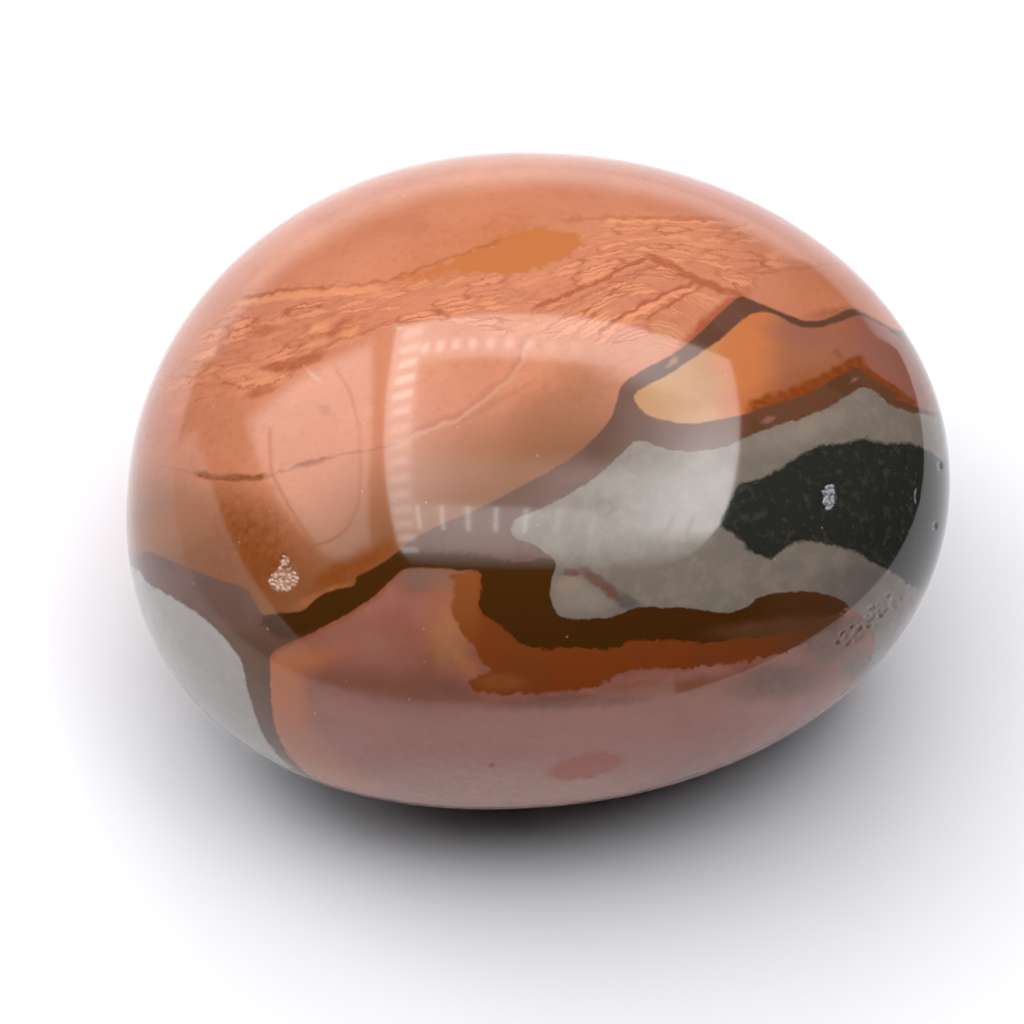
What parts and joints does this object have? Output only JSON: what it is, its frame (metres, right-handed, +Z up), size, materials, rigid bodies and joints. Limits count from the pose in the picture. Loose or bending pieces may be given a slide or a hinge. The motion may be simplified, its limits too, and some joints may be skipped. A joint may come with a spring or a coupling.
{
  "type": "polished polychrome jasper",
  "caption": "Smooth rounded oval stone of polished jasper, banded in terracotta, brown, mauve and grey, resting on a small flat spot underneath.",
  "frame": {"origin": "on the surface the stone rests on, under the middle of its outline", "axes": "+X along the stone's long axis, +Y across it, +Z up from the resting spot"},
  "size_m": [0.0652, 0.0562, 0.0393],
  "materials": {
    "polished_jasper": "polished"
  },
  "bodies": {
    "root": {"jasper_stone": "polished_jasper"}
  },
  "joints": []
}
